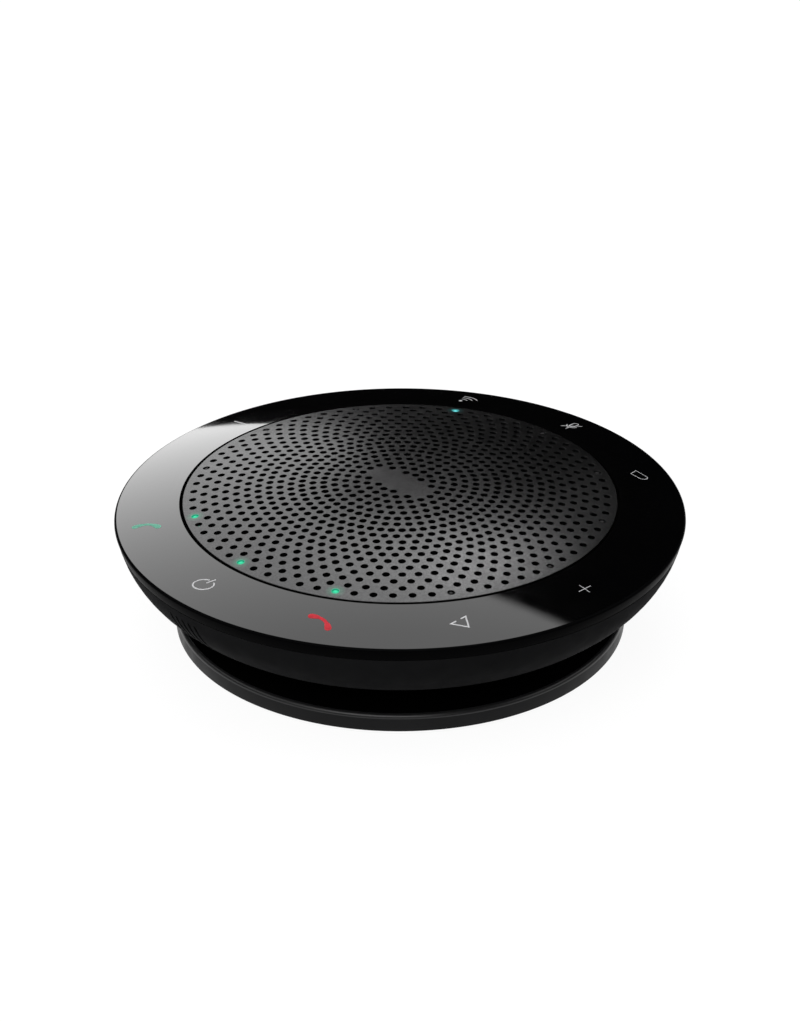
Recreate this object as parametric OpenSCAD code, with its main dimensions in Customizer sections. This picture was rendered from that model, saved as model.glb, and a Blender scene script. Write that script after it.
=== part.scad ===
// Table-top conference speakerphone: a round puck with a perforated dome over
// one loudspeaker, a seamless touch ring and a cord groove above the foot.
// Origin on the table under the centre, +Z up, front (power sign, microphone slots) at -Y.

/* [Body] */
// Outer diameter over the touch ring
body_d = 120.5; // [119:0.5:122]
// Height from the table to the top of the dome
body_h = 32; // [31.5:0.5:34]
// Radius of the sphere that the whole top follows
dome_r = 330; // [300:5:400]
// Height of the hairline between touch ring and lower housing
parting_z = 23.8; // [23.6:0.1:24]
// Wall thickness of the lower housing
wall = 1.8; // [1.6:0.1:1.9]
// How far the bowl of the lower housing swells beyond a straight cone
bowl_swell = 1.9; // [1.6:0.1:2.2]

/* [Grille] */
// Diameter of the perforated dome
grille_d = 91.7; // [91.5:0.1:91.9]
// Thickness of the perforated dome
grille_t = 0.8; // [0.7:0.1:0.9]
// Distance between two rows of holes
row_pitch = 2.3; // [2.28:0.01:2.3]
// Number of rows of holes, counted from the centre
rows = 19; // [15:1:19]
// Diameter of one hole
hole_d = 1.55; // [1.2:0.05:1.6]
// Half length of the bare strip in the middle
bare_half_x = 8; // [7:0.5:9]
// Half width of the bare strip in the middle
bare_half_y = 2.9; // [2.7:0.1:3.2]

/* [Cord groove and foot] */
// Height of the groove ceiling over the table
groove_top = 10.9; // [10.7:0.1:11]
// Height of the groove floor over the table
groove_floor = 4.5; // [4.4:0.1:4.8]
// Outer diameter of the drum that the cord winds on
drum_d = 78; // [77:0.5:80]
// Diameter of the foot flange
foot_d = 96.8; // [95:0.2:97]
// How far the rubber ring stands out of the base plate
foot_gap = 0.7; // [0.6:0.1:1]
// Diameter of the cord that the gland takes
cord_d = 3.6; // [3:0.1:3.8]

/* [Loudspeaker] */
// Diameter of the cone's rim
cone_d = 49; // [47:0.5:50]
// Diameter of the voice coil's former
coil_d = 20; // [19.5:0.1:20.4]
// Travel of the cone to either side of rest
stroke = 1.4; // [1:0.1:1.4]

/* [Microphone] */
// Number of slots in front of the microphone
mic_slots = 5; // [3:1:7]
// Width of one slot
mic_slot_w = 0.7; // [0.5:0.1:0.9]

/* [Hidden] */

$fn = 96;
high = 60;                            // taller than the whole object
fit = 0.05;                           // gap between pieces that are put together
root = 0.4;                           // how deep a boss reaches into the plate under it
step_back = 0.1;                      // how far a boss stays behind a face that clamps
body_r = body_d / 2;
dome_centre_z = body_h - dome_r;

// touch ring and grille
grille_rim_r = grille_d / 2;
rim_drop = 0.2;                       // how far the grille's rim reaches below its skin
ring_gap = 0.45;                      // slit between grille and touch ring
ring_bore_r = grille_rim_r + ring_gap;
ring_t = 2;
ring_edge = 0.6;
small_edge = 0.1;
band_taper = 0.55;
ledge_r = 44.6;
ledge_top = dome_z(grille_rim_r) - grille_t - rim_drop;
ledge_t = 1.3;
ring_lip_t = 1.5;
seal_t = 0.15;
screen_gap = 0.1;                     // between the grille and the screen under it
screen_t = 0.15;
screen_r = rows * row_pitch - 1.4;
hairline = 0.2;
tongue_r = body_r - 3.15;
tongue_t = 1;
tongue_drop = 1.2;                    // how far the tongue reaches into the lower housing
film_gap = 0.03;
film_t = 0.2;
film_margin = 0.4;
light_r = rows * row_pitch;
light_angles_call = [240, 270, 300];
light_angles_link = [120];
light_angles_idle = [0, 30, 60, 90, 150, 180, 210, 330];
light_step = 30;
hook_angles = [15:60:359];
hook_r = 52.2;
hook_t = 1.2;
hook_w = 6;
hook_nose = 0.9;
hook_nose_h = 0.6;
hook_play = 0.5;

// lower housing, a bowl with an arc for its side
skirt_top_r = body_r - band_taper;
skirt_low_r = foot_d / 2 + 0.6;
skirt_chord = norm([skirt_top_r - skirt_low_r, parting_z - groove_top]);
skirt_arc_r = (skirt_chord * skirt_chord / 4 + bowl_swell * bowl_swell) / (2 * bowl_swell);
skirt_slope = atan2(parting_z - groove_top, skirt_top_r - skirt_low_r);
skirt_arc_x = (skirt_top_r + skirt_low_r) / 2 - (skirt_arc_r - bowl_swell) * sin(skirt_slope);
skirt_arc_z = (parting_z + groove_top) / 2 + (skirt_arc_r - bowl_swell) * cos(skirt_slope);
floor_t = 1.6;
floor_top = groove_top + floor_t;
floor_bore_r = 29.5;
mic_z = 17.2;
mic_slot_pitch = 1.8;                 // degrees between slots
mic_slot_low = 15.2;
mic_slot_high = 21.6;
mic_bracket_y = -49.4;
mic_bracket_t = 1.5;
mic_bracket_w = 10;
bracket_lap = 1.2;                    // how far bosses and bracket reach into the bowl's wall
mic_boot_r = 3;
mic_bore_r = 2.1;
mic_web = 0.8;                        // between the bracket and the capsule

// heights of the stack inside
frame_low = 20.5;
frame_top = 22.3;
board_low = 13.4;
board_t = 1.2;
board_top = board_low + board_t;
touch_low = 23.2;
touch_top = 24.2;
touch_board_in = 40.5;
board_margin = 0.3;
led = [1.2, 1.6, 0.7];
led_top = touch_top + led.z;
led_depth = (dome_z(light_r) - led_top) / cos(asin(light_r / dome_r));
led_r = light_r * (1 - led_depth / dome_r);
pin_play = 0.05;
pin_crown = 0.3;                      // height of a light pin's round tip
pin_collar = 0.15;                    // how much wider a pin is below the grille
pin_over_led = 0.25;
frame_bore_r = 29.6;
frame_play = 0.4;
rail_r = 51;                          // rail that carries the touch board
rail_t = 1.4;
frame_collar_r = 38;                  // stiffening collar round the loudspeaker

// loudspeaker motor and moving parts
yoke_low = 8.4;
yoke_t = 1.8;
yoke_r = 17.5;
pole_r = coil_d / 2 - 0.6;
magnet_low = yoke_low + yoke_t;
magnet_t = 3;
magnet_r = 18;
gap_low = magnet_low + magnet_t;
gap_t = 2;
gap_top = gap_low + gap_t;
gap_r = coil_d / 2 + 1;
former_t = 0.15;
winding_t = 0.38;
winding_l = 2 * stroke + gap_t - 0.6;
winding_low = gap_low + gap_t / 2 - winding_l / 2;
neck_z = 20.4;
cone_rim_z = 23.1;
cone_t = 0.4;
cone_rim_r = cone_d / 2;
flange_t = 1.3;
flange_top = frame_top + flange_t;
flange_r = 34.4;
seat_t = 0.8;
roll_r = 2;
roll_t = 0.4;
surround_out = cone_rim_r + 2 * roll_r + 2;
spider_z = gap_top + seat_t + 2;
spider_out = 22.8;
spider_t = 0.3;
basket_r = 20.4;

// foot, base and battery
foot_r = foot_d / 2;
drum_r = drum_d / 2;
drum_t = 2.2;
base_floor_t = 1.6;
base_floor_top = foot_gap + base_floor_t;
base_edge = 0.6;                      // round of the foot's upper edge
base_low_edge = 0.25;
pocket_r = 35.8;
pad_low_r = 38.5;
pad_high_r = 45.5;
pad_seat = 2.6;
cord_z = (groove_top + groove_floor) / 2;
battery = [50, 34, 5.2];
battery_pad_t = 0.3;

// main board, a horseshoe round the rear
board_r = 43.4;
board_bore_r = 23;
board_span = 105;                     // degrees to each side of the rear
board_ends = [90 + board_span, 222, 270, 318, 450 - board_span];
board_notch_r = 3.8;

// fasteners: shank radius, head radius, head height, length
base_screw = [1.25, 2.4, 1.4, 12];
frame_screw = [1, 2.1, 1, 6];
driver_screw = [0.9, 1.7, 1, 5];
board_screw = [0.9, 1.7, 1, 2.8];
base_screw_at = 33.5;
frame_screw_at = 46.6;
driver_screw_at = 32.2;
board_screw_at = 40;
quarter = [45:90:359];
cross = [0:90:359];
board_screw_angles = [10, 90, 170];
screw_play = 0.05;
head_play = 0.25;
frame_sink = 1.1;                     // depth of the pockets for the frame's screw heads
base_boss_r = 3.4;
drum_boss_r = 3.6;
plate_boss_r = 4.2;
frame_boss_r = 2.8;
board_boss_r = 2.2;
driver_boss_r = 2.6;

// height of the dome's surface at a distance r from the middle
function dome_z(r) = dome_centre_z + sqrt(dome_r * dome_r - r * r);

// number of holes in a row, and whether the row is turned by half a step
function row_count(k) = k < 7 ? 6 * k : k < 9 ? 48 : k < 12 ? 60 : 72;
function row_turn(k) = (k < 6 ? k % 2 == 1 : k > 9 && k % 2 == 0) ? 0.5 : 0;
function is_bare(x, y) = abs(x) < bare_half_x && abs(y) < bare_half_y;

// rectangle in a half section, from r0 to r1 and from z0 to z1
module band(r0, r1, z0, z1) {
    translate([r0, z0]) square([r1 - r0, z1 - z0]);
}

// the dome's sphere in a half section, sunk by a depth
module dome_disc(depth = 0) {
    translate([0, dome_centre_z]) circle(r = dome_r - depth, $fn = 720);
}

// spherical layer between two depths under the dome, from r0 to r1
module dome_layer(depth0, depth1, r0, r1) {
    rotate_extrude() intersection() {
        difference() {
            dome_disc(depth0);
            dome_disc(depth1);
        }
        band(r0, r1, 0, high);
    }
}

// what a round of radius e takes off the dome's edge at r; out is 1 for an outer edge, -1 for a bore
module dome_edge_cut(r, e, out) {
    centre_r = r - out * e;
    centre_z = dome_centre_z + sqrt((dome_r - e) * (dome_r - e) - centre_r * centre_r);
    meet_r = centre_r * dome_r / (dome_r - e);
    difference() {
        band(min(meet_r, r + out), max(meet_r, r + out), centre_z, high);
        translate([centre_r, centre_z]) circle(r = e, $fn = 32);
    }
}

// what a round of radius e takes off an outer corner at r, z; up is 1 for a top edge, -1 for a bottom edge
module corner_cut(r, z, e, up) {
    difference() {
        translate([r - e, up > 0 ? z - e : z - 1]) square([e + 1, e + 1]);
        translate([r - e, z - up * e]) circle(r = e, $fn = 32);
    }
}

// place on the dome, with the local +Z square to its surface
module on_dome(r, a) {
    rotate(a) translate([0, 0, dome_centre_z]) rotate([0, asin(r / dome_r), 0])
        translate([0, 0, dome_r]) children();
}

// copies round the axis at a distance r
module around(angles, r) {
    for (a = angles) rotate(a) translate([r, 0, 0]) children();
}

// plain ring or tube
module tube(r_out, r_in, z0, z1) {
    translate([0, 0, z0]) difference() {
        cylinder(r = r_out, h = z1 - z0);
        translate([0, 0, -1]) cylinder(r = r_in, h = z1 - z0 + 2);
    }
}

// upright cylinder between two heights
module post(r, z0, z1) {
    translate([0, 0, z0]) cylinder(r = r, h = z1 - z0, $fn = 32);
}

// screw with a pan head and a cross recess; head_z is the face under the head, down is the tip's side
module screw(spec, head_z, down) {
    head_r = spec[1];
    head_h = spec[2];
    length = spec[3];
    recess = 0.6 * head_h;
    translate([0, 0, head_z]) mirror([0, 0, down ? 0 : 1]) difference() {
        union() {
            cylinder(r = head_r, h = head_h, $fn = 32);
            translate([0, 0, -length]) cylinder(r = spec[0], h = length, $fn = 32);
        }
        for (a = [0, 90]) rotate(a)
            translate([-0.6 * head_r, -0.15 * head_r, head_h - recess])
                cube([1.2 * head_r, 0.3 * head_r, high]);
    }
}

// holes for the shanks of screws round the axis
module screw_holes(spec, angles, r, z0 = 0, z1 = high) {
    around(angles, r) post(spec[0] + screw_play, z0, z1);
}

// windows for the touch ring's hooks, widened by play
module hook_windows(play) {
    around(hook_angles, 0)
        translate([hook_r - play, -hook_w / 2 - play, 0])
            cube([hook_t + 2 * play, hook_w + 2 * play, high]);
}

// half section of the bowl's inside, smaller by gap
module bowl_inside(gap) {
    intersection() {
        translate([skirt_arc_x, skirt_arc_z]) circle(r = skirt_arc_r - wall - gap, $fn = 360);
        band(skirt_arc_x - 10, body_r, floor_top, high);
    }
}

// the holes of some rows, each cut by a ball, which leaves a true circle on both faces of the dome
module grille_holes(first, last) {
    for (k = [first:last], i = [0:row_count(k) - 1]) {
        a = (i + row_turn(k)) * 360 / row_count(k);
        r = k * row_pitch;
        if (!is_bare(r * cos(a), r * sin(a)))
            on_dome(r, a) translate([0, 0, -grille_t / 2])
                sphere(d = norm([hole_d, grille_t]), $fn = 16);
    }
}

module speaker_grille() {
    color("#55585c") difference() {
        rotate_extrude() difference() {
            intersection() {
                dome_disc();
                union() {
                    difference() {
                        band(0, grille_rim_r, 0, high);
                        dome_disc(grille_t);
                    }
                    band(ledge_r, grille_rim_r, ledge_top, high);
                }
            }
            dome_edge_cut(grille_rim_r, small_edge, 1);
        }
        grille_holes(1, 7);
        grille_holes(8, 10);
        grille_holes(11, 13);
        grille_holes(14, rows - 4);
        grille_holes(rows - 3, rows - 2);
        grille_holes(rows - 1, rows);
    }
}

module acoustic_mesh() {
    color("#0c0c0d") dome_layer(grille_t + screen_gap, grille_t + screen_gap + screen_t, 0, screen_r);
}

module grille_seal() {
    color("#111111") tube(grille_rim_r, ledge_r, ledge_top - seal_t, ledge_top);
}

module touch_ring_section() {
    difference() {
        intersection() {
            dome_disc();
            union() {
                difference() {
                    band(ring_bore_r, body_r - band_taper, 0, high);
                    dome_disc(ring_t);
                }
                band(ring_bore_r, ring_bore_r + ring_lip_t, ledge_top - seal_t - ledge_t, high);
                band(ledge_r, ring_bore_r + ring_lip_t, ledge_top - seal_t - ledge_t, ledge_top - seal_t);
                band(tongue_r - tongue_t, tongue_r, parting_z - tongue_drop, dome_z(body_r));
                polygon([
                    [tongue_r - tongue_t, parting_z + hairline],
                    [body_r - band_taper, parting_z + hairline],
                    [body_r, dome_z(body_r) - ring_edge],
                    [body_r, high],
                    [tongue_r - tongue_t, high]
                ]);
            }
        }
        dome_edge_cut(body_r, ring_edge, 1);
        dome_edge_cut(ring_bore_r, small_edge, -1);
    }
}

module touch_ring() {
    color("#08080a") {
        rotate_extrude() touch_ring_section();
        around(hook_angles, 0) {
            translate([hook_r, -hook_w / 2, frame_low - hook_nose_h])
                cube([hook_t, hook_w, dome_z(hook_r) - ring_t / 2 - frame_low]);
            translate([hook_r, -hook_w / 2, frame_low - hook_nose_h])
                cube([hook_t + hook_nose, hook_w, hook_nose_h - fit]);
        }
    }
}

module touch_film() {
    color("#b06a2c") difference() {
        dome_layer(ring_t + film_gap, ring_t + film_gap + film_t,
            ring_bore_r + ring_lip_t + film_margin, tongue_r - tongue_t - film_margin);
        hook_windows(hook_play);
    }
}

module touch_board() {
    color("#1c3d2a") difference() {
        tube(tongue_r - tongue_t - board_margin, touch_board_in, touch_low, touch_top);
        hook_windows(hook_play);
    }
}

module status_leds() {
    color("#efe9d2") around([0:light_step:359], led_r)
        translate([-led.x / 2, -led.y / 2, touch_top]) cube(led);
}

// light pins that lean with the dome, each with a round tip in its hole and a collar below the grille
module light_pipes(angles) {
    pin_r = hole_d / 2 - pin_play;
    pin_h = led_depth - pin_over_led - fit;
    crown_r = (pin_r * pin_r + pin_crown * pin_crown) / (2 * pin_crown);
    for (a = angles) on_dome(light_r, a) translate([0, 0, pin_over_led - led_depth]) {
        intersection() {
            cylinder(r = pin_r, h = pin_h + 1, $fn = 32);
            translate([0, 0, pin_h - crown_r]) sphere(r = crown_r, $fn = 64);
        }
        cylinder(r = hole_d / 2 + pin_collar, h = pin_h - grille_t - fit, $fn = 32);
    }
}

module light_pipes_call() {
    color("#3ddc84") light_pipes(light_angles_call);
}

module light_pipe_link() {
    color("#38b6e8") light_pipes(light_angles_link);
}

module light_pipes_idle() {
    color("#9aa0a4") light_pipes(light_angles_idle);
}

module mid_frame() {
    bowl_r = skirt_arc_x + sqrt(pow(skirt_arc_r - wall, 2) - pow(skirt_arc_z - frame_low, 2));
    color("#26282a") difference() {
        union() {
            tube(bowl_r - frame_play, frame_bore_r, frame_low, frame_top);
            tube(rail_r, rail_r - rail_t, frame_low, touch_low);
            tube(frame_collar_r, frame_collar_r - rail_t, frame_low - 2, frame_low + 1);
            around(cross, driver_screw_at) post(driver_boss_r, frame_low - 2.5, frame_low + 1);
        }
        hook_windows(hook_play);
        screw_holes(frame_screw, quarter, frame_screw_at);
        around(quarter, frame_screw_at) post(frame_screw[1] + head_play, frame_top - frame_sink, high);
        screw_holes(driver_screw, cross, driver_screw_at);
    }
}

module frame_screws() {
    color("#8d9094") around(quarter, frame_screw_at) screw(frame_screw, frame_top - frame_sink, true);
}

module driver_basket() {
    basket_t = 1.2;
    rim_in = cone_rim_r + 2.9;
    rim_out = cone_rim_r + 4.2;
    landing_z = spider_z - spider_t / 2;
    windows = 6;
    color("#2d2f31") difference() {
        rotate_extrude() union() {
            band(rim_in, flange_r, frame_top, flange_top);
            polygon([
                [basket_r, gap_top], [basket_r + basket_t, gap_top],
                [basket_r + basket_t, landing_z - 1], [rim_out, frame_top - 1.4],
                [rim_out, flange_top], [rim_in, flange_top],
                [rim_in, frame_top - 0.8], [spider_out + 0.4, landing_z], [basket_r, landing_z]
            ]);
            band(gap_r + 0.6, basket_r + 0.2, gap_top, gap_top + seat_t);
        }
        for (i = [0:windows - 1]) rotate(i * 360 / windows + 30)
            translate([spider_out + 0.8, -4.5, landing_z + 0.9]) cube([20, 9, 1.5]);
        screw_holes(driver_screw, cross, driver_screw_at);
    }
}

module driver_yoke() {
    color("#9a9c9e") {
        post(yoke_r, yoke_low, magnet_low);
        post(pole_r, magnet_low - 0.5, gap_top + 0.8);
    }
}

module driver_magnet() {
    color("#3a3a3c") tube(magnet_r, gap_r + 1.4, magnet_low, gap_low);
}

module driver_top_plate() {
    color("#9a9c9e") tube(yoke_r, gap_r, gap_low, gap_top);
}

module coil_former() {
    color("#c9a24a") tube(coil_d / 2 + former_t, coil_d / 2, winding_low, neck_z);
}

module voice_coil() {
    color("#b5652a") tube(coil_d / 2 + former_t + winding_t, coil_d / 2 + former_t,
        winding_low, winding_low + winding_l);
}

// half section of the cone: collar on the former, slope, flat rim
module speaker_cone() {
    collar_r = coil_d / 2 + former_t + fit;
    color("#1a1a1c") rotate_extrude() polygon([
        [collar_r, neck_z - 1.6], [collar_r + cone_t, neck_z - 1.6],
        [collar_r + cone_t, neck_z - 0.2], [cone_rim_r - 1.6, cone_rim_z],
        [cone_rim_r, cone_rim_z], [cone_rim_r, cone_rim_z + cone_t],
        [cone_rim_r - 1.8, cone_rim_z + cone_t], [collar_r, neck_z + 0.2]
    ]);
}

module dust_cap() {
    cap_r = coil_d / 2 - fit;
    cap_h = 2.4;
    cap_sphere = (cap_r * cap_r + cap_h * cap_h) / (2 * cap_h);
    color("#141416") rotate_extrude() intersection() {
        union() {
            difference() {
                translate([0, neck_z + cap_h - cap_sphere]) circle(r = cap_sphere, $fn = 180);
                translate([0, neck_z + cap_h - cap_sphere]) circle(r = cap_sphere - cone_t, $fn = 180);
            }
            band(cap_r - cone_t, cap_r, neck_z - 1.2, neck_z);
        }
        band(0, cap_r, neck_z - 1.2, high);
    }
}

// rubber half roll between the cone's rim and the basket's flange
module cone_surround() {
    roll_at = cone_rim_r + roll_r;
    color("#232325") rotate_extrude() {
        intersection() {
            translate([roll_at, flange_top]) difference() {
                circle(r = roll_r, $fn = 64);
                circle(r = roll_r - roll_t, $fn = 64);
            }
            band(0, flange_r, flange_top, high);
        }
        band(cone_rim_r - 1.2, cone_rim_r + roll_t, flange_top, flange_top + roll_t);
        band(roll_at + roll_r - roll_t, surround_out, flange_top, flange_top + roll_t);
    }
}

// corrugated centring disc between coil former and basket
module spider() {
    inner = coil_d / 2 + former_t + fit;
    outer = spider_out - 0.2;
    flat = 0.8;
    rim = 2.5;
    waves = 4;
    steps = 8 * waves;
    wave_h = 0.55;
    pitch = (outer - rim - inner - flat) / steps;
    line = concat(
        [[inner, 0]],
        [for (i = [0:steps]) [inner + flat + i * pitch, wave_h * sin(i * 360 * waves / steps)]],
        [[outer, 0]]
    );
    last = len(line) - 1;
    color("#d9b45a") rotate_extrude() translate([0, spider_z]) polygon(concat(
        [for (q = line) q - [0, spider_t / 2]],
        [for (i = [0:last]) line[last - i] + [0, spider_t / 2]]
    ));
}

module driver_gasket() {
    gasket_low = flange_top + roll_t;
    color("#3b3b3d") tube(surround_out, cone_rim_r + 2 * roll_r + 0.2, gasket_low, gasket_low + 1);
}

module driver_screws() {
    color("#8d9094") around(cross, driver_screw_at) screw(driver_screw, flange_top, true);
}

module speaker_terminals() {
    color("#c8a860") rotate(22.5) translate([flange_r + 0.4, 0, frame_top]) {
        translate([0, -4, 0]) cube([2.4, 8, 0.8]);
        for (y = [-2.4, 2.4]) translate([0.8, y - 0.9, 0]) cube([0.5, 1.8, 2.6]);
    }
}

module main_board_outline() {
    difference() {
        circle(r = board_r);
        circle(r = board_bore_r);
        polygon(concat([[0, 0]], [for (a = board_ends) 2 * board_r * [cos(a), sin(a)]]));
    }
}

module main_board() {
    color("#1c5a36") difference() {
        translate([0, 0, board_low]) linear_extrude(board_t) main_board_outline();
        around(quarter, base_screw_at) post(board_notch_r, 0, high);
        screw_holes(board_screw, board_screw_angles, board_screw_at);
    }
}

module board_screws() {
    color("#8d9094") around(board_screw_angles, board_screw_at) screw(board_screw, board_top, true);
}

module shield_can() {
    can = [15, 11, 2.2];
    color("#b9bcbf") translate([-can.x / 2, 27, board_top]) difference() {
        cube(can);
        translate([0.3, 0.3, -1]) cube([can.x - 0.6, can.y - 0.6, can.z + 0.7]);
    }
}

module board_chips() {
    color("#222224") {
        around([20, 160], 30.5) translate([-3.5, -3.5, board_top]) cube([7, 7, 1]);
        around([0, 186], 29) translate([-3, -2.5, board_top]) cube([6, 5, 1.4]);
    }
}

module board_capacitors() {
    color("#6f7478") around([66, 114], 39.5) post(2.5, board_top, board_top + 3.6);
}

module board_connectors() {
    color("#e4ddc8") {
        around([-8, 188], 38) translate([-2, -4, board_top]) cube([4.5, 8, 3.4]);
        rotate(70) translate([33, -1.75, board_top]) cube([2.6, 3.5, 2]);
        rotate(24) translate([38, -3, board_top]) cube([3, 7, 2.4]);
    }
}

module battery_pad() {
    color("#4a4a4c") translate([-battery.x / 2 + 3, -battery.y / 2 + 3, base_floor_top])
        cube([battery.x - 6, battery.y - 6, battery_pad_t]);
}

module battery_cell() {
    corner = 1.4;
    z0 = base_floor_top + battery_pad_t;
    color("#c3c6c9") translate([0, 0, z0]) linear_extrude(battery.z) {
        square([battery.x - 2 * corner, battery.y], center = true);
        square([battery.x, battery.y - 2 * corner], center = true);
        for (x = [-1, 1], y = [-1, 1])
            translate([x * (battery.x / 2 - corner), y * (battery.y / 2 - corner)])
                circle(r = corner, $fn = 32);
    }
}

// lies along the radius at the front, facing out through the slots
module facing_front(y, z) {
    translate([0, y, z]) rotate([90, 0, 0]) children();
}

module mic_boot() {
    color("#18181a") intersection() {
        difference() {
            facing_front(mic_bracket_y, mic_z) cylinder(r = mic_boot_r, h = 12, $fn = 48);
            facing_front(mic_bracket_y - mic_web, mic_z) cylinder(r = mic_bore_r, h = 12, $fn = 48);
        }
        rotate_extrude() bowl_inside(fit);
    }
}

module mic_capsule() {
    color("#b8bcc0") facing_front(mic_bracket_y - mic_web, mic_z)
        cylinder(r = mic_bore_r - fit, h = 1.5, $fn = 48);
}

module mic_slot_cuts() {
    depth = 20;
    turns = [for (i = [0:mic_slots - 1]) -90 + (i - (mic_slots - 1) / 2) * mic_slot_pitch];
    around(turns, skirt_low_r + bracket_lap) {
        translate([0, -mic_slot_w / 2, mic_slot_low])
            cube([depth, mic_slot_w, mic_slot_high - mic_slot_low]);
        for (z = [mic_slot_low, mic_slot_high])
            translate([0, 0, z]) rotate([0, 90, 0]) cylinder(d = mic_slot_w, h = depth, $fn = 16);
    }
}

module lower_housing() {
    color("#2b2c2e") difference() {
        union() {
            rotate_extrude() union() {
                intersection() {
                    translate([skirt_arc_x, skirt_arc_z]) difference() {
                        circle(r = skirt_arc_r, $fn = 360);
                        circle(r = skirt_arc_r - wall, $fn = 360);
                    }
                    band(skirt_arc_x, body_r, groove_top, parting_z);
                }
                band(floor_bore_r, skirt_low_r - 0.3, groove_top, floor_top);
                band(floor_bore_r, floor_bore_r + 1.2, groove_top, floor_top + 0.6);
            }
            around(quarter, base_screw_at) post(base_boss_r, groove_top + root, 17);
            around(board_screw_angles, board_screw_at) post(board_boss_r, groove_top + root, board_low);
            intersection() {
                union() {
                    around(quarter, frame_screw_at) post(frame_boss_r, groove_top + root, frame_low);
                    translate([-mic_bracket_w / 2, mic_bracket_y, groove_top + root])
                        cube([mic_bracket_w, mic_bracket_t, frame_low - 0.2 - groove_top - root]);
                }
                rotate_extrude() band(0, skirt_low_r + bracket_lap, 0, high);
            }
        }
        screw_holes(base_screw, quarter, base_screw_at, 0, 16);
        screw_holes(board_screw, board_screw_angles, board_screw_at, floor_top - 1);
        screw_holes(frame_screw, quarter, frame_screw_at, floor_top + 1);
        mic_slot_cuts();
    }
}

module cord_drum() {
    color("#0e0e0f") difference() {
        union() {
            tube(drum_r, drum_r - drum_t, groove_floor, groove_top);
            around(quarter, base_screw_at)
                post(drum_boss_r, groove_floor + step_back, groove_top - step_back);
        }
        screw_holes(base_screw, quarter, base_screw_at);
        translate([0, 0, cord_z]) rotate([-90, 0, 0]) cylinder(r = cord_d / 2 + 0.7, h = high, $fn = 48);
    }
}

module cord_gland() {
    inside = drum_r - drum_t;
    shank_r = cord_d / 2 + 0.65;
    color("#1b1b1c") translate([0, 0, cord_z]) rotate([-90, 0, 0]) difference() {
        union() {
            translate([0, 0, inside - 2]) cylinder(r = shank_r, h = drum_t + 2.8, $fn = 48);
            translate([0, 0, inside - 2]) cylinder(r = shank_r + 0.6, h = 1.6, $fn = 48);
        }
        translate([0, 0, inside - 3]) cylinder(r = cord_d / 2, h = 12, $fn = 48);
    }
}

module base_plate() {
    color("#1e1f20") difference() {
        union() {
            rotate_extrude() difference() {
                union() {
                    band(0, foot_r, foot_gap, base_floor_top);
                    band(pocket_r, foot_r, foot_gap, groove_floor);
                }
                corner_cut(foot_r, groove_floor, base_edge, 1);
                corner_cut(foot_r, foot_gap, base_low_edge, -1);
                band(pad_low_r, pad_high_r, 0, pad_seat);
            }
            around(quarter, base_screw_at) post(plate_boss_r, foot_gap + root, groove_floor - step_back);
        }
        screw_holes(base_screw, quarter, base_screw_at);
        around(quarter, base_screw_at) post(base_screw[1] + head_play, 0, pad_seat);
    }
}

module foot_ring() {
    edge = 0.4;
    color("#0b0b0c") rotate_extrude() difference() {
        band(pad_low_r + fit, pad_high_r - fit, 0, pad_seat);
        corner_cut(pad_high_r - fit, 0, edge, -1);
    }
}

module base_screws() {
    color("#8d9094") around(quarter, base_screw_at) screw(base_screw, pad_seat, false);
}

speaker_grille();
acoustic_mesh();
grille_seal();
touch_ring();
touch_film();
touch_board();
status_leds();
light_pipes_call();
light_pipe_link();
light_pipes_idle();
mid_frame();
frame_screws();
driver_basket();
driver_yoke();
driver_magnet();
driver_top_plate();
coil_former();
voice_coil();
speaker_cone();
dust_cap();
cone_surround();
spider();
driver_gasket();
driver_screws();
speaker_terminals();
main_board();
board_screws();
shield_can();
board_chips();
board_capacitors();
board_connectors();
battery_cell();
battery_pad();
mic_capsule();
mic_boot();
lower_housing();
cord_drum();
cord_gland();
base_plate();
foot_ring();
base_screws();
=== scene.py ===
import math

import bmesh
import bpy
from mathutils import Matrix, Vector
from mathutils.geometry import delaunay_2d_cdt


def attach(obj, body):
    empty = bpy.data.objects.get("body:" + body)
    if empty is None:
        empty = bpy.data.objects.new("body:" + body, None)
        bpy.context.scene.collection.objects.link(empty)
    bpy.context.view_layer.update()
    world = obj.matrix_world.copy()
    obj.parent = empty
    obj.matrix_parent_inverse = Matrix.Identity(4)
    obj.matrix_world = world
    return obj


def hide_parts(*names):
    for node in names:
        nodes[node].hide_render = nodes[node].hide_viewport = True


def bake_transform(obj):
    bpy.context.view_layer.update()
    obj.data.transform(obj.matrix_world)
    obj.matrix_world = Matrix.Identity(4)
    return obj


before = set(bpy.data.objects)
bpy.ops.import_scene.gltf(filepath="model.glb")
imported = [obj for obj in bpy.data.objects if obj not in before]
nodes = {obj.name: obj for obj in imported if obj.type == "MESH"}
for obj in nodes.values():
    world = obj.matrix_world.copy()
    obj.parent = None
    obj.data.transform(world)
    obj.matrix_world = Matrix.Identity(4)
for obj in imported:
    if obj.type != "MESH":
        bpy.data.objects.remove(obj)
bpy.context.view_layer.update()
scene = bpy.context.scene
mm = 0.001
print("frame loaded with", len(nodes), "nodes")

# the whole top follows one sphere, sizes in millimetres
dome = {"radius": 330.0, "top": 32.0}
domeCentre = dome["top"] - dome["radius"]


def domeHeight(r, sunk=0.0):
    return domeCentre + math.sqrt((dome["radius"] - sunk) ** 2 - r * r)


def polar(r, degrees):
    a = math.radians(degrees)
    return r * math.cos(a), r * math.sin(a)


def arc(cx, cy, r, start, end, steps):
    spots = [polar(r, start + (end - start) * i / steps) for i in range(steps + 1)]
    return [(cx + x, cy + y) for x, y in spots]


def turned(points, degrees, dx=0.0, dy=0.0):
    c, s = polar(1, degrees)
    return [(dx + x * c - y * s, dy + x * s + y * c) for x, y in points]


# camera

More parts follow.
